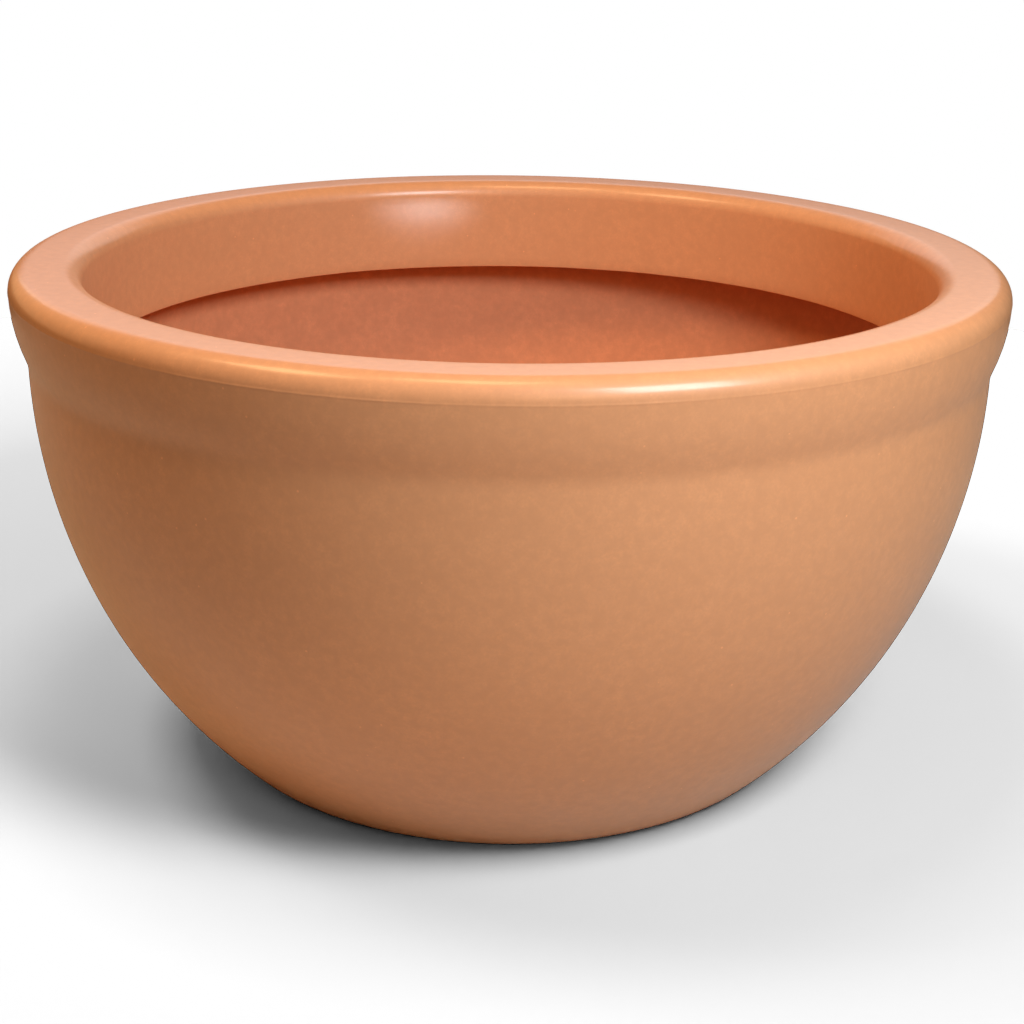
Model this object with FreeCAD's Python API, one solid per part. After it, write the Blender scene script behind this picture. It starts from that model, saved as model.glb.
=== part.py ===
import FreeCAD, Part
import math
import os

# A bowl planter, hollow-moulded in one piece, with a rolled rim that turns down inside the mouth
# as a skirt, and a push-in rubber plug in the drain hole. Millimetres. +Z is up, the origin is on
# the pot's axis at the height of the surface that it stands on.

# Outside of the bowl.
RIM_DIAMETER = 500.0          # across the widest circle, where the two halves of the mould meet
POT_HEIGHT = 260.0
NECK_INSET = 7.0              # the neck under the rim is this much inside the widest circle
COLLAR_DROP = 38.0            # from the widest circle down to the neck
NECK_RADIUS = 25.0            # hollow curve at the neck
FOOT_DIAMETER = 284.0         # outer edge of the flat ring that it stands on
FOOT_EDGE_RADIUS = 20.0       # curve from the foot ring into the side

# Rim and skirt.
SHOULDER_RADIUS = 10.0        # outer edge of the rim's top
RIM_WIDTH = 35.0              # from the widest circle to the mouth, at the mouth's edge
RIM_FALL = 0.9                # degrees by which the rim's top slopes towards the mouth
MOUTH_EDGE_RADIUS = 9.0       # inner edge of the rim's top
SKIRT_DEPTH = 53.5            # from the rim's top to the skirt's cut edge
SKIRT_LEAN = 1.2              # degrees by which the skirt leans outwards on its way down
RIDGE_WIDTH = 1.6             # thin ridge that the mould's joint leaves on the widest circle
RIDGE_HEIGHT = 0.35

# Wall.
WALL = 4.5

# Base.
FOOT_RING_WIDTH = 30.0
BASE_RISE = 8.0               # the middle of the base stands this much clear of the ground
RISE_RADIUS = 8.0             # the two curves from the foot ring up to the raised middle
CHANNEL_COUNT = 4             # grooves that let water out under the foot ring
CHANNEL_START = 45.0          # degrees from +X to the first groove
CHANNEL_WIDTH = 16.0
CHANNEL_DEPTH = 3.0
DRAIN_DIAMETER = 18.0

# Drain plug.
PLUG_HEAD_OVERLAP = 7.0       # the head reaches this far past the hole's edge
PLUG_HEAD_HEIGHT = 5.0
PLUG_HEAD_EDGE = 2.0          # height of the head's upright edge, below the dome
PLUG_CLEARANCE = 0.05         # between the squeezed shank and the hole, on the radius
PLUG_REACH = 5.5              # how far the shank passes below the underside of the base
PLUG_GROOVE_DEPTH = 1.0       # grooves that leave the shank's ribs standing
PLUG_GROOVE_WIDTH = 1.4
PLUG_GROOVE_COUNT = 2
PLUG_TIP_CHAMFER = 1.5

# Worked out from the sizes above.
WIDEST_RADIUS = RIM_DIAMETER / 2
WIDEST_HEIGHT = POT_HEIGHT - SHOULDER_RADIUS
NECK_WALL_RADIUS = WIDEST_RADIUS - NECK_INSET
NECK_HEIGHT = WIDEST_HEIGHT - COLLAR_DROP
FOOT_RADIUS = FOOT_DIAMETER / 2
DRAIN_RADIUS = DRAIN_DIAMETER / 2
FLOOR_HEIGHT = BASE_RISE + WALL


def collar_curve():
    """Radius and turn of the bulging curve between the neck and the widest circle.

    It and the neck's hollow curve turn by the same angle, and both are upright at their far ends.
    """
    turn = 2 * math.atan(NECK_INSET / COLLAR_DROP)
    radius = COLLAR_DROP / math.sin(turn) - NECK_RADIUS
    return radius, math.degrees(turn)


def body_curve():
    """Radius and turn of the bowl's side: upright at the neck, tangent to the foot's edge curve."""
    inwards = NECK_WALL_RADIUS - FOOT_RADIUS
    upwards = NECK_HEIGHT - FOOT_EDGE_RADIUS
    reach = inwards ** 2 + upwards ** 2 - FOOT_EDGE_RADIUS ** 2
    radius = reach / (2 * (inwards - FOOT_EDGE_RADIUS))
    turn = math.atan2(upwards, radius - inwards)
    return radius, math.degrees(turn)


def rise_curve():
    """Turn of each curve between the foot ring and the raised middle, and how long the pair is."""
    turn = math.acos(1 - BASE_RISE / (2 * RISE_RADIUS))
    return math.degrees(turn), 2 * RISE_RADIUS * math.sin(turn)


def base_moves():
    """From the drain hole's edge to the neck."""
    rise_turn, rise_length = rise_curve()
    body_radius, body_turn = body_curve()
    middle_length = FOOT_RADIUS - FOOT_RING_WIDTH - rise_length - DRAIN_RADIUS
    return [
        (middle_length, 0),
        (RISE_RADIUS, -rise_turn),
        (RISE_RADIUS, rise_turn),
        (FOOT_RING_WIDTH, 0),
        (FOOT_EDGE_RADIUS, 90 - body_turn),
        (body_radius, body_turn),
    ]


def rim_moves():
    """From the neck over the rim and down to the skirt's cut edge."""
    collar_radius, collar_turn = collar_curve()
    mouth_turn = 90 + SKIRT_LEAN - RIM_FALL
    setback = MOUTH_EDGE_RADIUS * math.tan(math.radians(mouth_turn / 2))
    fall = math.radians(RIM_FALL)
    lean = math.radians(SKIRT_LEAN)
    top_run = RIM_WIDTH - SHOULDER_RADIUS * (1 - math.sin(fall))
    top_length = top_run / math.cos(fall)
    corner_drop = SHOULDER_RADIUS * (1 - math.cos(fall)) + top_length * math.sin(fall)
    skirt_length = (SKIRT_DEPTH - corner_drop) / math.cos(lean)
    return [
        (NECK_RADIUS, -collar_turn),
        (collar_radius, collar_turn),
        (SHOULDER_RADIUS, 90 + RIM_FALL),
        (top_length - setback, 0),
        (MOUTH_EDGE_RADIUS, mouth_turn),
        (skirt_length - setback, 0),
    ]


def trace(start, heading, moves):
    """Edges of a smooth path in the XZ plane, and the point where it ends.

    A move is (length, 0) for a straight, or (radius, degrees) for an arc that turns to the left,
    or to the right where degrees is negative.
    """
    edges = []
    here = start
    for size, degrees in moves:
        if degrees == 0:
            there = here + on_heading(heading) * size
            edges.append(Part.LineSegment(here, there).toShape())
        else:
            to_centre = on_heading(heading + 90) * math.copysign(size, degrees)
            centre = here + to_centre
            halfway = centre - turned(to_centre, degrees / 2)
            there = centre - turned(to_centre, degrees)
            edges.append(Part.Arc(here, halfway, there).toShape())
            heading += degrees
        here = there
    return edges, here


def on_heading(degrees):
    """Unit vector in the XZ plane, degrees from +X towards +Z."""
    angle = math.radians(degrees)
    return FreeCAD.Vector(math.cos(angle), 0, math.sin(angle))


def turned(vector, degrees):
    """vector turned in the XZ plane from +X towards +Z."""
    angle = math.radians(degrees)
    x = vector.x * math.cos(angle) - vector.z * math.sin(angle)
    z = vector.x * math.sin(angle) + vector.z * math.cos(angle)
    return FreeCAD.Vector(x, 0, z)


def inset_move(move):
    """The same move for the skin one wall thickness to the left."""
    size, degrees = move
    if degrees == 0:
        return move
    return size - math.copysign(WALL, degrees), degrees


def outer_skin():
    start = FreeCAD.Vector(DRAIN_RADIUS, 0, BASE_RISE)
    return trace(start, 0, base_moves() + rim_moves())


def inner_skin():
    start = FreeCAD.Vector(DRAIN_RADIUS, 0, FLOOR_HEIGHT)
    return trace(start, 0, [inset_move(move) for move in base_moves() + rim_moves()])


def revolved(edges):
    """Solid of revolution about Z of a closed outline in the XZ plane."""
    outline = Part.Wire(Part.__sortEdges__(edges))
    axis = FreeCAD.Vector(0, 0, 1)
    return Part.Face(outline).revolve(FreeCAD.Vector(0, 0, 0), axis, 360)


def line(x1, z1, x2, z2):
    start = FreeCAD.Vector(x1, 0, z1)
    return Part.LineSegment(start, FreeCAD.Vector(x2, 0, z2)).toShape()


def bowl_wall():
    """The whole moulding as one even wall, open at the drain hole and at the skirt's cut edge."""
    outer, outer_end = outer_skin()
    inner, inner_end = inner_skin()
    cut_edge = Part.LineSegment(outer_end, inner_end).toShape()
    hole_wall = line(DRAIN_RADIUS, BASE_RISE, DRAIN_RADIUS, FLOOR_HEIGHT)
    return revolved(outer + [cut_edge] + inner + [hole_wall])


def parting_ridge():
    """Ring with a rounded crest on the widest circle, rooted halfway into the wall."""
    root = WIDEST_RADIUS - WALL / 2
    low = WIDEST_HEIGHT - RIDGE_WIDTH / 2
    high = WIDEST_HEIGHT + RIDGE_WIDTH / 2
    crest = Part.Arc(
        FreeCAD.Vector(WIDEST_RADIUS, 0, low),
        FreeCAD.Vector(WIDEST_RADIUS + RIDGE_HEIGHT, 0, WIDEST_HEIGHT),
        FreeCAD.Vector(WIDEST_RADIUS, 0, high),
    )
    back = [
        line(WIDEST_RADIUS, high, root, high),
        line(root, high, root, low),
        line(root, low, WIDEST_RADIUS, low),
    ]
    return revolved([crest.toShape()] + back)


def below_the_outer_skin():
    """Everything that the outer skin encloses, up to the neck."""
    skin, neck = trace(FreeCAD.Vector(DRAIN_RADIUS, 0, BASE_RISE), 0, base_moves())
    closing = [
        line(neck.x, neck.z, 0, neck.z),
        line(0, neck.z, 0, BASE_RISE),
        line(0, BASE_RISE, DRAIN_RADIUS, BASE_RISE),
    ]
    return revolved(skin + closing)


def channel_rods(extra_radius):
    """One lying rod for each groove, from the raised middle out past the foot's edge.

    A groove is a shallow slice of a rod whose axis is under the ground.
    """
    half = CHANNEL_WIDTH / 2
    groove_radius = (half ** 2 + CHANNEL_DEPTH ** 2) / (2 * CHANNEL_DEPTH)
    inner_end = FOOT_RADIUS - FOOT_RING_WIDTH - rise_curve()[1]
    length = FOOT_RADIUS + FOOT_EDGE_RADIUS - inner_end
    centre = FreeCAD.Vector(inner_end, 0, CHANNEL_DEPTH - groove_radius)
    rods = []
    for number in range(CHANNEL_COUNT):
        rod = Part.makeCylinder(
            groove_radius + extra_radius, length, centre, FreeCAD.Vector(1, 0, 0)
        )
        angle = CHANNEL_START + number * 360 / CHANNEL_COUNT
        rod.rotate(FreeCAD.Vector(0, 0, 0), FreeCAD.Vector(0, 0, 1), angle)
        rods.append(rod)
    return rods


def pot_shell():
    """The moulding, with a cover of even thickness over each groove under the foot ring."""
    shell = bowl_wall().fuse(parting_ridge())
    enclosed = below_the_outer_skin()
    for cover in channel_rods(WALL):
        shell = shell.fuse(cover.common(enclosed))
    for groove in channel_rods(0):
        shell = shell.cut(groove)
    return shell.removeSplitter()


def drain_plug():
    """Rubber plug: a low domed head on the pot's floor and a ribbed shank through the hole."""
    head_radius = DRAIN_RADIUS + PLUG_HEAD_OVERLAP
    shank_radius = DRAIN_RADIUS - PLUG_CLEARANCE
    edge_top = FLOOR_HEIGHT + PLUG_HEAD_EDGE
    head_top = FLOOR_HEIGHT + PLUG_HEAD_HEIGHT
    tip = BASE_RISE - PLUG_REACH
    dome_radius = (head_radius ** 2 + (head_top - edge_top) ** 2) / (2 * (head_top - edge_top))
    half_turn = math.asin(head_radius / dome_radius) / 2
    dome = Part.Arc(
        FreeCAD.Vector(head_radius, 0, edge_top),
        FreeCAD.Vector(
            dome_radius * math.sin(half_turn), 0, head_top - dome_radius * (1 - math.cos(half_turn))
        ),
        FreeCAD.Vector(0, 0, head_top),
    )
    sides = [
        line(0, head_top, 0, tip),
        line(0, tip, shank_radius - PLUG_TIP_CHAMFER, tip),
        line(shank_radius - PLUG_TIP_CHAMFER, tip, shank_radius, tip + PLUG_TIP_CHAMFER),
        line(shank_radius, tip + PLUG_TIP_CHAMFER, shank_radius, FLOOR_HEIGHT),
        line(shank_radius, FLOOR_HEIGHT, head_radius, FLOOR_HEIGHT),
        line(head_radius, FLOOR_HEIGHT, head_radius, edge_top),
    ]
    plug = revolved([dome.toShape()] + sides)
    for groove in plug_grooves(shank_radius, tip + PLUG_TIP_CHAMFER):
        plug = plug.cut(groove)
    return plug


def plug_grooves(shank_radius, lowest):
    """Rings that are cut from the shank below the base, evenly spaced up to its underside."""
    pitch = (BASE_RISE - lowest) / PLUG_GROOVE_COUNT
    core = shank_radius - PLUG_GROOVE_DEPTH
    rings = []
    for number in range(PLUG_GROOVE_COUNT):
        middle = lowest + pitch * (number + 0.5)
        low = middle - PLUG_GROOVE_WIDTH / 2
        outer = Part.makeCylinder(
            shank_radius + PLUG_GROOVE_DEPTH, PLUG_GROOVE_WIDTH, FreeCAD.Vector(0, 0, low)
        )
        inner = Part.makeCylinder(core, PLUG_GROOVE_WIDTH, FreeCAD.Vector(0, 0, low))
        rings.append(outer.cut(inner))
    return rings


os.makedirs("parts", exist_ok=True)
for node, shape in {"pot_shell": pot_shell(), "drain_plug": drain_plug()}.items():
    print(node, shape.isValid(), len(shape.Solids), round(shape.Volume), shape.BoundBox)
    shape.exportStep("parts/" + node + ".step")
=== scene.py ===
import math

import bpy
from mathutils import Matrix, Vector, noise


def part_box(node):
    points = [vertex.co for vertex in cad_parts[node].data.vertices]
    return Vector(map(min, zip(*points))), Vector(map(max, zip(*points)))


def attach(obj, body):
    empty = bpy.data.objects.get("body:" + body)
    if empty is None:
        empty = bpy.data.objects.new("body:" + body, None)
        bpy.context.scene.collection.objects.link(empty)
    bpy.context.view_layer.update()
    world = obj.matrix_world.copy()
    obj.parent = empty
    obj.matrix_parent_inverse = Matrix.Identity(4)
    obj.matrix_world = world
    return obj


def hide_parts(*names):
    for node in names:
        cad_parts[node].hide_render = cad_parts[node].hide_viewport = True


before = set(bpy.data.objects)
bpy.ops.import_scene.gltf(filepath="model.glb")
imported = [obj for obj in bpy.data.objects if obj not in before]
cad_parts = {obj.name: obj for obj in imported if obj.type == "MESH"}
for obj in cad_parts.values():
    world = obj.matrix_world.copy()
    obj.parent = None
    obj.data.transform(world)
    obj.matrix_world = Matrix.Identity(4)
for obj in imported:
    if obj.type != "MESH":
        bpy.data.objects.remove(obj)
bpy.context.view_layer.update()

bl_info = {
    "name": "Planting bowl",
    "version": (1, 0, 0),
    "blender": (4, 5, 0),
    "location": "3D View > Sidebar > Planting bowl",
    "description": "Makes a hollow-moulded planting bowl, its drain plug and a plain studio round them",
    "category": "Object",
}

# Metres, in the frame of the packed model: +Z up, the origin on the bowl's axis where it stands.
MM = 0.001
SHELL_NODE, PLUG_NODE = "pot_shell", "drain_plug"
SHELL_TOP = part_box(SHELL_NODE)[1]

# How finely the meshes follow their outlines.
STRAIGHT_STEP = 6.0 * MM
ARC_STEP = math.radians(5)
SMALL_RADIUS = 2.0 * MM
SMALL_ARC_STEP = math.radians(30)
RIDGE_STEP = 0.16 * MM
RIDGE_STEPS = 6
LINES_BETWEEN_CHANNELS = 48
PLUG_SIDES = 96
FLOOR_SIDES = 128
SHARP_FOLD = math.radians(35)

# Where the mesh's lines run beside a groove, as shares of its half width, closest at its edge.
CHANNEL_LINES = (0, 0.15, 0.3, 0.45, 0.6, 0.73, 0.84, 0.93, 1, 1.07, 1.15, 1.24, 1.34, 1.5)

# The moulding's unevenness. Its slow waves set in between two heights over the ground and are stronger
# on the raw side. The ridge is worn in places, and the skirt's cut edge wanders up and down.
SLOW_WAVE = 90 * MM
WAVE_START = Vector((3.1, 7.7, 1.9))
WAVE_SQUEEZE = 1.6
WAVES_FROM, WAVES_FULL = 20 * MM, 60 * MM
RAW_WAVES = 2.2
EDGE_WAVE = 35 * MM
RIDGE_LEVEL, RIDGE_WEAR = 0.75, 0.6
CUT_WANDER, CUT_WANDER_REACH = 0.25 * MM, 15 * MM

# The values between which most of a noise pattern lies.
NOISE_LOW, NOISE_HIGH = 0.3, 0.7

FLOOR_GAP = 0.2 * MM


def length(name, description, millimetres):
    """A property that holds a length, with its default given in millimetres."""
    return bpy.props.FloatProperty(
        name=name, description=description, default=millimetres * MM, min=0.0, unit="LENGTH", precision=5
    )


def angle(name, description, degrees):
    """A property that holds an angle, with its default given in degrees."""
    return bpy.props.FloatProperty(
        name=name, description=description, default=math.radians(degrees), subtype="ANGLE"
    )


def number(name, description, default, low=0.0, high=1.0):
    """A property that holds a plain number."""
    return bpy.props.FloatProperty(name=name, description=description, default=default, min=low, max=high)


def colour(name, description, hexadecimal):
    """A property that holds a colour, with its default given as an sRGB hex value."""
    return bpy.props.FloatVectorProperty(
        name=name, description=description, default=linear(hexadecimal), size=3, min=0.0, max=1.0,
        subtype="COLOR",
    )


def linear(hexadecimal):
    """The linear red, green and blue of an sRGB hex value."""
    channels = [int(hexadecimal[i : i + 2], 16) / 255 for i in (0, 2, 4)]
    return tuple(c / 12.92 if c <= 0.04045 else ((c + 0.055) / 1.055) ** 2.4 for c in channels)


class BowlShape(bpy.types.PropertyGroup):
    """Sizes of the hollow-moulded shell."""

    height: length("Height", "From the ground to the top of the rim", SHELL_TOP.z / MM)
    width: length("Width", "Across the widest circle, without the mould's ridge", 500)
    neck_inset: length("Neck inset", "How far the neck lies inside the widest circle", 7)
    collar_drop: length("Collar drop", "From the widest circle down to the neck", 38)
    neck_radius: length("Neck curve", "Radius of the hollow curve at the neck", 25)
    foot_width: length("Foot width", "Across the outer edge of the foot ring", 284)
    foot_edge_radius: length("Foot edge curve", "From the foot ring into the side", 20)
    shoulder_radius: length("Shoulder curve", "Outer edge of the rim's top", 10)
    rim_width: length("Rim width", "From the widest circle to the mouth", 35)
    rim_fall: angle("Rim fall", "Slope of the rim's top towards the mouth", 0.9)
    mouth_edge_radius: length("Mouth edge curve", "Inner edge of the rim's top", 9)
    skirt_depth: length("Skirt depth", "From the rim's top to the skirt's cut edge", 53.5)
    skirt_lean: angle("Skirt lean", "How the skirt leans outwards on its way down", 1.2)
    wall: length("Wall", "Thickness of the moulding", 4.5)
    foot_ring: length("Foot ring", "Width of the ring that the bowl stands on", 30)
    base_rise: length("Base rise", "Height of the raised base over the ground", 8)
    rise_radius: length("Rise curve", "The two curves between the foot ring and the raised base", 8)
    drain_width: length("Drain hole", "Across the hole in the base", 18)
    channel_count: bpy.props.IntProperty(
        name="Channels", description="Grooves that let water out under the foot", default=4, min=0
    )
    channel_start: angle("First channel", "Direction of the first groove, from +X", 45)
    channel_width: length("Channel width", "Across a groove at the ground", 16)
    channel_depth: length("Channel depth", "Height of a groove over the ground", 3)
    ridge_width: length("Ridge width", "The ridge that the mould's joint leaves", 1.9)
    ridge_height: length("Ridge height", "How far that ridge stands out", 0.14)
    edge_softness: length("Edge softness", "Radius of the trimmed edges", 0.5)
    unevenness: length("Unevenness", "Slow waves in the moulded wall", 0.12)


class PlugShape(bpy.types.PropertyGroup):
    """Sizes of the rubber drain plug."""

    head_overlap: length("Head overlap", "How far the head reaches past the hole's edge", 7)
    head_height: length("Head height", "From the bowl's floor to the top of the head", 5)
    head_edge: length("Head edge", "Height of the head's upright edge", 2)
    edge_radius: length("Edge curve", "Rounded edge between the dome and the upright edge", 0.7)
    clearance: length("Clearance", "Between the squeezed shank and the hole", 0.05)
    reach: length("Reach", "How far the shank passes below the base", 5.5)
    groove_depth: length("Groove depth", "Depth of the grooves between the ribs", 1)
    groove_width: length("Groove width", "Width of the grooves between the ribs", 1.4)
    grooves: bpy.props.IntProperty(name="Grooves", description="Grooves on the shank", default=2, min=0)
    tip_chamfer: length("Tip chamfer", "Bevel that guides the shank into the hole", 1.5)


class Finish(bpy.types.PropertyGroup):
    """Colours and textures of the plastic and the rubber."""

    skin: colour("Moulded skin", "Colour where the plastic lay against the mould", "DC9B6C")
    skin_roughness: number("Skin roughness", "Roughness of the moulded skin", 0.58)
    skin_glaze: number("Skin glaze", "How much of the skin is pressed smooth", 0.55)
    skin_glaze_roughness: number("Glaze roughness", "Roughness where it is pressed smooth", 0.22)
    grain: length("Grain", "Width of one grain of the skin", 1.3)
    grain_depth: length("Grain depth", "Height of the grain of the skin", 0.018)
    raw: colour("Raw inside", "Colour of the side that never touched the mould", "D98E63")
    raw_roughness: number("Raw roughness", "Roughness of the raw inside", 0.78)
    rubber: colour("Rubber", "Colour of the plug", "2B2A29")


class Studio(bpy.types.PropertyGroup):
    """The floor, the lights and the camera."""

    floor: colour("Floor", "Colour of the floor", "D6CFC6")
    floor_radius: length("Floor radius", "Radius of the round floor", 1050)
    backdrop: number("Surround", "Brightness of the white room", 1.0, high=10.0)
    lights: number("Lights", "Strength of all the lamps together", 1.0, high=10.0)
    lens: bpy.props.FloatProperty(
        name="Lens", description="Focal length", default=63.65, min=1.0, unit="CAMERA"
    )
    camera_back: length("Camera distance", "From the bowl's axis, along -Y", 918.5)
    camera_height: length("Camera height", "Over the ground", 445)
    camera_tilt: angle("Camera tilt", "Downwards from level", 19.6)
    camera_turn: angle("Camera turn", "Towards +X", 0.14)
    camera_roll: angle("Camera roll", "About its own axis", 0.71)


# ---------------------------------------------------------------- outlines


class Outline:
    """A path in the plane of radius and height, made of straights and tangent arcs.

    Each point is (radius, height, surface), and surface is that of the step that leads to it.
    """

    def __init__(self, radius, height, heading):
        self.here = (radius, height)
        self.heading = heading
        self.points = []

    def go(self, size, turn=0.0, surface="skin", stops=()):
        """A straight of that length, or an arc of that radius that turns left by turn.

        stops are extra places to put a point, as lengths from the start of the step.
        """
        r, z = self.here
        if turn == 0.0:
            reach = size
            count = math.ceil(reach / STRAIGHT_STEP)
        else:
            reach = size * abs(turn)
            step = SMALL_ARC_STEP if size < SMALL_RADIUS else ARC_STEP
            count = math.ceil(max(abs(turn) / step, reach / STRAIGHT_STEP))
        places = sorted({reach * i / count for i in range(1, count + 1)} | set(stops))
        for along in places:
            if turn == 0.0:
                point = (r + along * math.cos(self.heading), z + along * math.sin(self.heading))
            else:
                side = math.copysign(1.0, turn)
                swing = side * along / size
                centre = (r - side * size * math.sin(self.heading), z + side * size * math.cos(self.heading))
                aim = self.heading + swing
                point = (centre[0] + side * size * math.sin(aim), centre[1] - side * size * math.cos(aim))
            self.points.append((*point, surface))
        self.here = self.points[-1][:2]
        self.heading += turn

    def follow(self, moves, surface):
        for move in moves:
            self.go(*move[:2], surface, *move[2:])


def collar_curve(bowl):
    """Radius and turn of the bulging curve between the neck and the widest circle."""
    turn = 2 * math.atan(bowl.neck_inset / bowl.collar_drop)
    return bowl.collar_drop / math.sin(turn) - bowl.neck_radius, turn


def side_curve(bowl):
    """Radius and turn of the bowl's side: upright at the neck, tangent to the foot's edge curve."""
    inwards = bowl.width / 2 - bowl.neck_inset - bowl.foot_width / 2
    upwards = widest_height(bowl) - bowl.collar_drop - bowl.foot_edge_radius
    reach = inwards**2 + upwards**2 - bowl.foot_edge_radius**2
    radius = reach / (2 * (inwards - bowl.foot_edge_radius))
    return radius, math.atan2(upwards, radius - inwards)


def rise_curve(bowl):
    """Turn of each curve between the foot ring and the raised base, and how long the pair is."""
    turn = math.acos(1 - bowl.base_rise / (2 * bowl.rise_radius))
    return turn, 2 * bowl.rise_radius * math.sin(turn)


def widest_height(bowl):
    return bowl.height - bowl.shoulder_radius


def base_moves(bowl):
    """From the drain hole's edge to the neck."""
    rise_turn, rise_length = rise_curve(bowl)
    side_radius, side_turn = side_curve(bowl)
    middle = (bowl.foot_width - bowl.drain_width) / 2 - bowl.foot_ring - rise_length
    return [
        (middle, 0.0),
        (bowl.rise_radius, -rise_turn),
        (bowl.rise_radius, rise_turn),
        (bowl.foot_ring, 0.0),
        (bowl.foot_edge_radius, math.pi / 2 - side_turn),
        (side_radius, side_turn),
    ]


def rim_moves(bowl):
    """From the neck over the rim and down to the skirt's cut edge, with fine steps at the ridge."""
    collar_radius, collar_turn = collar_curve(bowl)
    mouth_turn = math.pi / 2 + bowl.skirt_lean - bowl.rim_fall
    setback = bowl.mouth_edge_radius * math.tan(mouth_turn / 2)
    top_run = bowl.rim_width - bowl.shoulder_radius * (1 - math.sin(bowl.rim_fall))
    top = top_run / math.cos(bowl.rim_fall)
    corner_drop = bowl.shoulder_radius * (1 - math.cos(bowl.rim_fall)) + top * math.sin(bowl.rim_fall)
    skirt = (bowl.skirt_depth - corner_drop) / math.cos(bowl.skirt_lean)
    fine = [i * RIDGE_STEP for i in range(1, RIDGE_STEPS + 1)]
    collar_length = collar_radius * collar_turn
    return [
        (bowl.neck_radius, -collar_turn),
        (collar_radius, collar_turn, [collar_length - f for f in fine]),
        (bowl.shoulder_radius, math.pi / 2 + bowl.rim_fall, fine),
        (top - setback, 0.0),
        (bowl.mouth_edge_radius, mouth_turn),
        (skirt - setback, 0.0),
    ]


def inset(moves, depth):
    """The same moves for a skin that lies depth to the left."""
    return [(m[0] - math.copysign(depth, m[1]), m[1]) if m[1] else m[:2] for m in moves]


def backwards(moves):
    return [(size, -turn) for size, turn in reversed(moves)]


def shortened(moves, amount):
    """The moves with their first and last straights shortened."""
    changed = [list(m) for m in moves]
    changed[0][0] -= amount
    changed[-1][0] -= amount
    return changed


def shell_outline(bowl):
    """The wall's section: out along the underside, over the rim, and back along the inside."""
    soft = bowl.edge_softness
    quarter = math.pi / 2
    outside = shortened(base_moves(bowl) + rim_moves(bowl), soft)
    inside = backwards(inset(base_moves(bowl) + rim_moves(bowl), bowl.wall))
    path = Outline(bowl.drain_width / 2 + soft, bowl.base_rise, 0.0)
    path.follow(outside, "skin")
    for edge_moves, surface in (
        ([(soft, quarter), (bowl.wall - 2 * soft, 0.0), (soft, quarter)], "cut"),
        (shortened(inside, soft), "raw"),
        ([(soft, quarter), (bowl.wall - 2 * soft, 0.0), (soft, quarter)], "cut"),
    ):
        path.follow(edge_moves, surface)
    return path.points


# ---------------------------------------------------------------- meshes


def channel_height(bowl, across, extra):
    """Height of a groove's roof at a distance from its middle line, or of the wall over it."""
    half = bowl.channel_width / 2
    radius = (half**2 + bowl.channel_depth**2) / (2 * bowl.channel_depth)
    reach = (radius + extra) ** 2 - across**2
    return bowl.channel_depth - radius + math.sqrt(max(reach, 0.0))


def spokes(bowl, radius):
    """Directions of the mesh's lines at a radius, each with its distance from a groove's middle.

    Near a groove the lines run beside it through the foot ring, and elsewhere they fan out.
    """
    near = [bowl.channel_width / 2 * share for share in CHANNEL_LINES]
    across = [-a for a in reversed(near[1:])] + near
    inner = bowl.foot_width / 2 - bowl.foot_ring - rise_curve(bowl)[1]
    outer = bowl.foot_width / 2 + bowl.foot_edge_radius
    held = min(max(radius, inner), outer)
    zone = [math.asin(a / held) for a in across]
    gap = 2 * math.pi / bowl.channel_count
    between = LINES_BETWEEN_CHANNELS
    lines = []
    for groove in range(bowl.channel_count):
        middle = bowl.channel_start + groove * gap
        lines += [(middle + turn, a) for turn, a in zip(zone, across)]
        start, end = middle + zone[-1], middle + gap + zone[0]
        lines += [(start + (end - start) * i / between, math.inf) for i in range(1, between)]
    return lines


def eased(value, low, high):
    """0 up to low, 1 from high, with a smooth step between."""
    t = min(max((value - low) / (high - low), 0.0), 1.0)
    return t * t * (3 - 2 * t)


def normal_of(points, index):
    """Unit vector out of the wall, in the plane of radius and height."""
    before, after = points[index - 1], points[(index + 1) % len(points)]
    along = Vector((after[0] - before[0], after[1] - before[1])).normalized()
    return along.y, -along.x


def wave_push(bowl, x, y, radius, height, surface):
    """How far the slow waves push the wall out of its surface."""
    spot = Vector((x * radius, y * radius, height * WAVE_SQUEEZE)) / SLOW_WAVE + WAVE_START
    push = bowl.unevenness * eased(height, WAVES_FROM, WAVES_FULL) * noise.noise(spot)
    return push * RAW_WAVES if surface == "raw" else push


def ridge_lift(bowl, x, y, radius, off_ridge):
    """How far the mould's ridge stands out, at off_ridge half widths from its crest."""
    crest = 0.5 + 0.5 * math.cos(math.pi * off_ridge)
    worn = RIDGE_LEVEL + RIDGE_WEAR * noise.noise(Vector((x * radius, y * radius, 0.0)) / EDGE_WAVE)
    return bowl.ridge_height * crest * min(worn, 1.0)


def cut_wander(x, y, radius, height, skirt_end):
    """How far the skirt's cut edge lies too high, fading out above the edge."""
    ripple = noise.noise(Vector((x * radius, y * radius, 5.0)) / EDGE_WAVE)
    return CUT_WANDER * ripple * (1 - eased(height, skirt_end, skirt_end + CUT_WANDER_REACH))


def channel_lift(bowl, height, across, surface):
    """The height of the foot's underside or inside where a groove may raise it."""
    if surface == "skin" and abs(across) <= bowl.channel_width / 2 + 1e-9:
        return max(height, channel_height(bowl, across, 0.0))
    if surface == "raw":
        return max(height, channel_height(bowl, across, bowl.wall))
    return height


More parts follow.
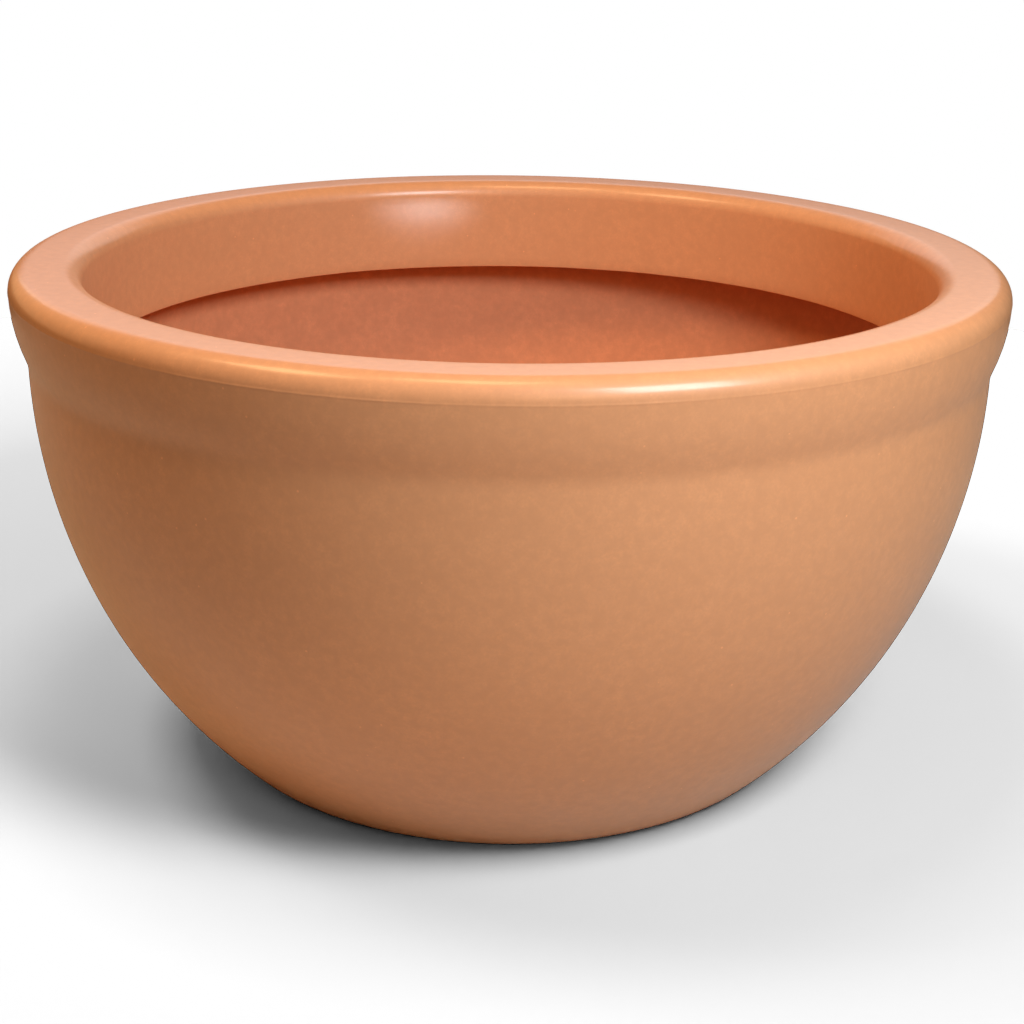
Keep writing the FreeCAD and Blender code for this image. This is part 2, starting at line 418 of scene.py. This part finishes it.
def shell_vertices(bowl):
    """Rings of vertices round the axis, one for each point of the outline."""
    outline = shell_outline(bowl)
    skirt_end = bowl.height - bowl.skirt_depth
    rows = []
    for index, (radius, height, surface) in enumerate(outline):
        out_r, out_z = normal_of(outline, index)
        off_ridge = abs(height - widest_height(bowl)) / (bowl.ridge_width / 2)
        on_ridge = surface == "skin" and radius > bowl.width / 2 - bowl.wall and off_ridge < 1
        near_cut = radius < bowl.width / 2 - bowl.rim_width + 2 * bowl.wall
        near_cut = near_cut and height > skirt_end - bowl.wall
        row = []
        for turn, across in spokes(bowl, radius):
            x, y = math.cos(turn), math.sin(turn)
            z = height
            push = wave_push(bowl, x, y, radius, height, surface)
            if on_ridge:
                push += ridge_lift(bowl, x, y, radius, off_ridge)
            if near_cut:
                z += cut_wander(x, y, radius, height, skirt_end)
            if across < math.inf and height < bowl.base_rise + bowl.wall and radius > bowl.drain_width:
                z = channel_lift(bowl, z, across, surface)
            reach = radius + push * out_r
            row.append((x * reach, y * reach, z + push * out_z))
        rows.append(row)
    return rows, [surface for _, _, surface in outline]


def mesh_object(name, vertices, faces, materials, indices):
    """A smooth-shaded object whose folds over SHARP_FOLD stay sharp."""
    mesh = bpy.data.meshes.new(name)
    mesh.from_pydata(vertices, [], faces)
    for material in materials:
        mesh.materials.append(material)
    mesh.polygons.foreach_set("material_index", indices)
    mesh.polygons.foreach_set("use_smooth", [True] * len(faces))
    mesh.set_sharp_from_angle(angle=SHARP_FOLD)
    mesh.update()
    if mesh.validate():
        raise RuntimeError(name + " has faces that aren't sound")
    thing = bpy.data.objects.new(name, mesh)
    bpy.context.scene.collection.objects.link(thing)
    return thing


def make_shell(bowl, finish):
    """The whole moulding: foot, base, side, neck, collar, rim and skirt in one wall."""
    rows, surfaces = shell_vertices(bowl)
    count = len(rows[0])
    vertices = [point for row in rows for point in row]
    faces, indices = [], []
    order = ("skin", "raw", "cut")
    for low in range(len(rows)):
        high = (low + 1) % len(rows)
        for spoke in range(count):
            beside = (spoke + 1) % count
            start, end = low * count, high * count
            faces.append((start + spoke, start + beside, end + beside, end + spoke))
            indices.append(order.index(surfaces[high]))
    materials = [moulded_polyethylene_skin(finish), raw_polyethylene(finish), cut_polyethylene(finish)]
    return mesh_object("bowl_moulding", vertices, faces, materials, indices)


def plug_outline(bowl, plug):
    """From the middle of the tip, up the ribbed shank and over the head to the middle of its top."""
    hole = bowl.drain_width / 2
    shank = hole - plug.clearance
    head = hole + plug.head_overlap
    floor = bowl.base_rise + bowl.wall
    tip = bowl.base_rise - plug.reach
    rise = plug.head_height - plug.head_edge
    dome = (head**2 + rise**2) / (2 * rise)
    slope = math.asin(head / dome)
    soft = plug.edge_radius
    quarter = math.pi / 2
    bevel = plug.tip_chamfer * math.sqrt(2)
    shank_start = tip + plug.tip_chamfer
    pitch = (bowl.base_rise - shank_start) / max(plug.grooves, 1)
    land = (pitch - plug.groove_width) / 2
    path = Outline(0.0, tip, 0.0)
    path.points.append((0.0, tip, "rubber"))
    path.go(shank - plug.tip_chamfer, 0.0, "rubber")
    path.heading = quarter / 2
    path.go(bevel, 0.0, "rubber")
    path.heading = quarter
    for _ in range(plug.grooves):
        path.go(land, 0.0, "rubber")
        path.heading = math.pi
        path.go(plug.groove_depth, 0.0, "rubber")
        path.heading = quarter
        path.go(plug.groove_width, 0.0, "rubber")
        path.heading = 0.0
        path.go(plug.groove_depth, 0.0, "rubber")
        path.heading = quarter
        path.go(land, 0.0, "rubber")
    path.go(floor - path.here[1], 0.0, "rubber")
    path.heading = 0.0
    path.go(head - shank - soft, 0.0, "rubber")
    path.go(soft, quarter, "rubber")
    # The upright edge's top is rounded into the dome.
    setback = soft * math.tan((quarter - slope) / 2)
    path.go(plug.head_edge - soft - setback, 0.0, "rubber")
    path.go(soft, quarter - slope, "rubber")
    inner_slope = math.asin(path.here[0] / dome)
    path.heading = math.pi - inner_slope
    path.go(dome, inner_slope, "rubber")
    return path.points


def make_plug(bowl, plug, finish):
    """The rubber plug as one turned form, closed at both ends on the axis."""
    outline = plug_outline(bowl, plug)
    around = PLUG_SIDES
    rings = outline[1:-1]
    vertices = [(0.0, 0.0, outline[0][1]), (0.0, 0.0, outline[-1][1])]
    for radius, height, _ in rings:
        for step in range(around):
            turn = 2 * math.pi * step / around
            vertices.append((radius * math.cos(turn), radius * math.sin(turn), height))
    faces = []
    for step in range(around):
        beside = (step + 1) % around
        faces.append((0, 2 + beside, 2 + step))
        last = 2 + (len(rings) - 1) * around
        faces.append((1, last + step, last + beside))
        for ring in range(len(rings) - 1):
            low, high = 2 + ring * around, 2 + (ring + 1) * around
            faces.append((low + step, low + beside, high + beside, high + step))
    return mesh_object("plug_rubber", vertices, faces, [moulded_rubber(finish)], [0] * len(faces))


# ---------------------------------------------------------------- materials


def add_node(tree, kind, settings=None, links=None):
    """A node with its properties and input values set, and its inputs linked."""
    made = tree.nodes.new(kind)
    for key, value in (settings or {}).items():
        if isinstance(key, int) or key in made.inputs:
            made.inputs[key].default_value = value
        else:
            setattr(made, key, value)
    for key, socket in (links or {}).items():
        tree.links.new(socket, made.inputs[key])
    return made


def new_material(name):
    """An empty material's node tree, with its output node and its object coordinates."""
    material = bpy.data.materials.new(name)
    material.use_nodes = True
    tree = material.node_tree
    tree.nodes.clear()
    output = add_node(tree, "ShaderNodeOutputMaterial")
    place = add_node(tree, "ShaderNodeTexCoord").outputs["Object"]
    return material, tree, output, place


def noise_pattern(tree, place, size, detail=2.0, roughness=0.5):
    """Noise whose spots are about size across."""
    settings = {"Scale": 1 / size, "Detail": detail, "Roughness": roughness}
    return add_node(tree, "ShaderNodeTexNoise", settings, {"Vector": place}).outputs["Fac"]


def stretched(tree, value, start=0.0, end=1.0, low=NOISE_LOW, high=NOISE_HIGH):
    """value mapped from low..high to start..end, held at both ends."""
    settings = {"From Min": low, "From Max": high, "To Min": start, "To Max": end}
    return add_node(tree, "ShaderNodeMapRange", settings, {"Value": value}).outputs["Result"]


def blend_colour(tree, first, second, amount):
    """Two colours, each a socket or a plain colour, mixed by the socket amount."""
    made = add_node(tree, "ShaderNodeMix", {"data_type": "RGBA"}, {0: amount})
    for index, value in ((6, first), (7, second)):
        if isinstance(value, bpy.types.NodeSocket):
            tree.links.new(value, made.inputs[index])
        else:
            made.inputs[index].default_value = (*value, 1.0)
    return made.outputs[2]


def scaled(rgb, factor):
    return tuple(min(c * factor, 1.0) for c in rgb)


def moulded_polyethylene_skin(finish):
    """Satin, with a fine orange-peel grain: rotationally moulded polyethylene against a blasted mould.

    The pigment is powder that melts in place, which leaves tiny darker and lighter grains, a soft mottle
    where it melted unevenly and a few pale specks where a grain of powder stayed clear.
    """
    material, tree, output, place = new_material("moulded_polyethylene_skin")
    base = tuple(finish.skin)
    grain = noise_pattern(tree, place, finish.grain, 2.0, 0.6)
    mottle = noise_pattern(tree, place, 5 * MM, 3.0, 0.55)
    cloud = noise_pattern(tree, place, 28 * MM, 3.0, 0.55)
    tint = blend_colour(tree, scaled(base, 0.97), scaled(base, 1.07), stretched(tree, grain))
    mottled = stretched(tree, mottle, 0.0, 0.8, 0.35, 0.65)
    tint = blend_colour(tree, tint, scaled(base, 0.925), mottled)
    clouded = stretched(tree, cloud, 0.0, 0.35, 0.35, 0.65)
    tint = blend_colour(tree, tint, scaled(base, 0.93), clouded)
    # A speck fills the middle of a cell, out to 0.03 to 0.05 of the cell's size.
    cells = add_node(
        tree, "ShaderNodeTexVoronoi", {"Scale": 1 / (13 * MM), "Randomness": 1.0}, {"Vector": place}
    )
    speck = stretched(tree, cells.outputs["Distance"], 0.6, 0.0, 0.03, 0.05)
    tint = blend_colour(tree, tint, scaled(base, 1.35), speck)
    bump = add_node(
        tree, "ShaderNodeBump", {"Strength": 1.0, "Distance": finish.grain_depth}, {"Height": grain}
    )
    shader = add_node(
        tree,
        "ShaderNodeBsdfPrincipled",
        {
            "IOR": 1.51,
            "Coat Weight": finish.skin_glaze,
            "Coat Roughness": finish.skin_glaze_roughness,
            "Coat IOR": 1.5,
        },
        {
            "Base Color": tint,
            "Roughness": stretched(tree, grain, finish.skin_roughness - 0.04, finish.skin_roughness + 0.04),
            "Normal": bump.outputs["Normal"],
        },
    )
    tree.links.new(shader.outputs[0], output.inputs["Surface"])
    return material


def raw_polyethylene(finish):
    """Matt, redder and mottled: the free side of the wall, which cooled in air inside the mould."""
    material, tree, output, place = new_material("raw_polyethylene")
    base = tuple(finish.raw)
    fine = noise_pattern(tree, place, 1.1 * MM, 2.0, 0.6)
    flow = noise_pattern(tree, place, 14 * MM, 4.0, 0.6)
    mottle = noise_pattern(tree, place, 5 * MM, 3.0, 0.55)
    tint = blend_colour(tree, scaled(base, 0.965), scaled(base, 1.075), stretched(tree, fine))
    tint = blend_colour(tree, tint, scaled(base, 0.87), stretched(tree, mottle, 0.0, 0.8, 0.35, 0.65))
    tint = blend_colour(tree, tint, scaled(base, 0.84), stretched(tree, flow, 0.0, 0.7, 0.35, 0.7))
    peel = noise_pattern(tree, place, 3.5 * MM, 2.0, 0.5)
    coarse = add_node(tree, "ShaderNodeBump", {"Strength": 1.0, "Distance": 0.12 * MM}, {"Height": peel})
    bump = add_node(
        tree, "ShaderNodeBump", {"Strength": 1.0, "Distance": 0.02 * MM},
        {"Height": fine, "Normal": coarse.outputs["Normal"]},
    )
    shader = add_node(
        tree,
        "ShaderNodeBsdfPrincipled",
        {"IOR": 1.51},
        {
            "Base Color": tint,
            "Roughness": stretched(tree, fine, finish.raw_roughness - 0.06, finish.raw_roughness + 0.06),
            "Normal": bump.outputs["Normal"],
        },
    )
    tree.links.new(shader.outputs[0], output.inputs["Surface"])
    return material


def cut_polyethylene(finish):
    """Paler and scraped: polyethylene trimmed with a knife, with fine chatter across the cut."""
    material, tree, output, place = new_material("cut_polyethylene")
    base = scaled(tuple(finish.skin), 1.12)
    scrape = noise_pattern(tree, place, 0.8 * MM, 3.0, 0.7)
    tint = blend_colour(tree, scaled(base, 0.85), base, stretched(tree, scrape))
    bump = add_node(tree, "ShaderNodeBump", {"Strength": 1.0, "Distance": 0.05 * MM}, {"Height": scrape})
    shader = add_node(
        tree,
        "ShaderNodeBsdfPrincipled",
        {"IOR": 1.51},
        {
            "Base Color": tint,
            "Roughness": stretched(tree, scrape, 0.45, 0.65),
            "Normal": bump.outputs["Normal"],
        },
    )
    tree.links.new(shader.outputs[0], output.inputs["Surface"])
    return material


def moulded_rubber(finish):
    """Near-black and dull, with a faint bloom: compression-moulded EPDM rubber."""
    material, tree, output, place = new_material("moulded_epdm_rubber")
    base = tuple(finish.rubber)
    fine = noise_pattern(tree, place, 0.6 * MM, 2.0, 0.6)
    bloom = noise_pattern(tree, place, 9 * MM, 4.0, 0.6)
    tint = blend_colour(tree, scaled(base, 0.8), scaled(base, 1.25), stretched(tree, fine))
    tint = blend_colour(tree, tint, scaled(base, 2.4), stretched(tree, bloom, 0.0, 0.5, 0.5, 0.75))
    bump = add_node(tree, "ShaderNodeBump", {"Strength": 1.0, "Distance": 0.02 * MM}, {"Height": fine})
    shader = add_node(
        tree,
        "ShaderNodeBsdfPrincipled",
        {"IOR": 1.52},
        {
            "Base Color": tint,
            "Roughness": stretched(tree, bloom, 0.5, 0.72),
            "Normal": bump.outputs["Normal"],
        },
    )
    tree.links.new(shader.outputs[0], output.inputs["Surface"])
    return material


def painted_floor(studio):
    """Matt white paint: even and pale, with a barely visible roller texture."""
    material, tree, output, place = new_material("matt_floor_paint")
    base = tuple(studio.floor)
    roller = noise_pattern(tree, place, 60 * MM, 3.0, 0.5)
    tint = blend_colour(tree, scaled(base, 0.995), base, roller)
    shader = add_node(
        tree, "ShaderNodeBsdfPrincipled", {"Roughness": 0.9, "IOR": 1.45}, {"Base Color": tint}
    )
    tree.links.new(shader.outputs[0], output.inputs["Surface"])
    return material


# ---------------------------------------------------------------- studio

# Name, direction from +X, elevation and distance from the middle of the rim, width and height, in
# degrees and metres, then the light's colour and its power in watts.
SOFTBOXES = (
    ("key", -56, 35, 0.88, 0.32, 0.32, "EEF8FF", 7.5),
    ("warm_front", -75, 20, 1.20, 0.36, 0.30, "FFCE95", 1.2),
    ("warm_overhead", -120, 80, 1.20, 0.36, 0.30, "FFCE95", 4.8),
    ("warm_left", -168, 58, 1.25, 0.40, 0.32, "FFCE95", 6.7),
    ("fill_back_left", 150, 15, 1.50, 1.50, 0.80, "FFCE95", 4.0),
    ("fill_back", 92, 23, 1.50, 2.00, 0.60, "EEF8FF", 5.0),
)

# The card in the mouth: its place and what it faces, then its width, height and colour, its power in
# watts and how wide its light spreads.
CARD_PLACE = Vector((-3.5, 100.5, 218)) * MM
CARD_TARGET = Vector((-55, 206, 243)) * MM
CARD_SETTINGS = (22 * MM, 12 * MM, "EEF8FF")
CARD_POWER = 0.0009
CARD_SPREAD = math.radians(34)


def add_softbox(name, place, target, wide, high, tint, power, gloss_only=False):
    """An area lamp that faces target. With gloss_only it shows in reflections and lights nothing else."""
    lamp = bpy.data.lights.new(name, "AREA")
    lamp.shape = "RECTANGLE"
    lamp.size, lamp.size_y = wide, high
    lamp.energy = power
    lamp.color = linear(tint)
    holder = bpy.data.objects.new(name, lamp)
    holder.location = place
    holder.rotation_mode = "QUATERNION"
    holder.rotation_quaternion = (target - place).to_track_quat("-Z", "Y")
    holder.visible_camera = False
    holder.visible_diffuse = not gloss_only
    bpy.context.scene.collection.objects.link(holder)
    return holder


def add_lights(strength):
    """The softboxes round the bowl, and a small card in its mouth that puts a soft glow on the skirt."""
    middle = Vector((0, 0, SHELL_TOP.z))
    for name, turn, rise, away, wide, high, tint, power in SOFTBOXES:
        turn, rise = math.radians(turn), math.radians(rise)
        out = Vector((math.cos(turn) * math.cos(rise), math.sin(turn) * math.cos(rise), math.sin(rise)))
        add_softbox(name, middle + out * away, middle, wide, high, tint, power * strength)
    power = CARD_POWER * strength
    card = add_softbox("glow_card", CARD_PLACE, CARD_TARGET, *CARD_SETTINGS, power, gloss_only=True)
    card.data.spread = CARD_SPREAD


def make_studio(studio):
    """A pale floor, a white room, soft lamps and the camera."""
    scene = bpy.context.scene
    mesh = bpy.data.meshes.new("floor")
    turns = [2 * math.pi * i / FLOOR_SIDES for i in range(FLOOR_SIDES)]
    radius = studio.floor_radius
    edge = [(radius * math.cos(turn), radius * math.sin(turn), -FLOOR_GAP) for turn in turns]
    mesh.from_pydata(edge, [], [range(FLOOR_SIDES)])
    mesh.materials.append(painted_floor(studio))
    floor = bpy.data.objects.new("floor", mesh)
    floor.is_shadow_catcher = True
    scene.collection.objects.link(floor)

    world = bpy.data.worlds.new("white_room")
    world.use_nodes = True
    background = world.node_tree.nodes["Background"]
    background.inputs["Color"].default_value = (1.0, 1.0, 1.0, 1.0)
    background.inputs["Strength"].default_value = studio.backdrop
    scene.world = world
    world.cycles_visibility.diffuse = False
    world.cycles_visibility.glossy = False
    add_lights(studio.lights)

    camera = bpy.data.cameras.new("camera")
    camera.lens = studio.lens
    camera.clip_start = 0.01
    holder = bpy.data.objects.new("camera", camera)
    scene.collection.objects.link(holder)
    place = Matrix.Translation((0.0, -studio.camera_back, studio.camera_height))
    aim = Matrix.Rotation(-studio.camera_turn, 4, "Z")
    aim = aim @ Matrix.Rotation(math.pi / 2 - studio.camera_tilt, 4, "X")
    holder.matrix_world = place @ aim @ Matrix.Rotation(studio.camera_roll, 4, "Z")
    scene.camera = holder
    scene.view_settings.view_transform = "Standard"


# ---------------------------------------------------------------- operators and panel


class BowlMakeMoulding(bpy.types.Operator):
    """Make the bowl's one-piece hollow moulding"""

    bl_idname = "planting_bowl.make_moulding"
    bl_label = "Moulding"
    bl_options = {"REGISTER", "UNDO"}

    def execute(self, context):
        scene = context.scene
        moulding = make_shell(scene.bowl_shape, scene.bowl_finish)
        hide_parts(SHELL_NODE)
        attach(moulding, "pot")
        return {"FINISHED"}


class BowlMakePlug(bpy.types.Operator):
    """Make the rubber plug in the bowl's drain hole"""

    bl_idname = "planting_bowl.make_plug"
    bl_label = "Drain plug"
    bl_options = {"REGISTER", "UNDO"}

    def execute(self, context):
        scene = context.scene
        plug = make_plug(scene.bowl_shape, scene.bowl_plug, scene.bowl_finish)
        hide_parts(PLUG_NODE)
        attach(plug, "plug")
        return {"FINISHED"}


class BowlMakeStudio(bpy.types.Operator):
    """Make the floor, the lights and the camera"""

    bl_idname = "planting_bowl.make_studio"
    bl_label = "Studio"
    bl_options = {"REGISTER", "UNDO"}

    def execute(self, context):
        make_studio(context.scene.bowl_studio)
        return {"FINISHED"}


OPERATORS = (BowlMakeMoulding, BowlMakePlug, BowlMakeStudio)
GROUPS = {
    "bowl_shape": BowlShape,
    "bowl_plug": PlugShape,
    "bowl_finish": Finish,
    "bowl_studio": Studio,
}


class BowlPanel(bpy.types.Panel):
    """Lists the bowl's pieces and their sizes"""

    bl_idname = "VIEW3D_PT_planting_bowl"
    bl_label = "Planting bowl"
    bl_space_type = "VIEW_3D"
    bl_region_type = "UI"
    bl_category = "Planting bowl"

    def draw(self, context):
        for operator in OPERATORS:
            self.layout.operator(operator.bl_idname)
        for attribute, group in GROUPS.items():
            box = self.layout.box()
            box.label(text=group.__doc__)
            settings = getattr(context.scene, attribute)
            for name in group.__annotations__:
                box.prop(settings, name)


def register():
    for group in GROUPS.values():
        bpy.utils.register_class(group)
    for attribute, group in GROUPS.items():
        setattr(bpy.types.Scene, attribute, bpy.props.PointerProperty(type=group))
    for operator in OPERATORS:
        bpy.utils.register_class(operator)
    bpy.utils.register_class(BowlPanel)


def unregister():
    bpy.utils.unregister_class(BowlPanel)
    for operator in reversed(OPERATORS):
        bpy.utils.unregister_class(operator)
    for attribute in GROUPS:
        delattr(bpy.types.Scene, attribute)
    for group in reversed(GROUPS.values()):
        bpy.utils.unregister_class(group)


def main():
    register()
    bpy.ops.planting_bowl.make_moulding()
    bpy.ops.planting_bowl.make_plug()
    bpy.ops.planting_bowl.make_studio()


if __name__ == "__main__":
    main()
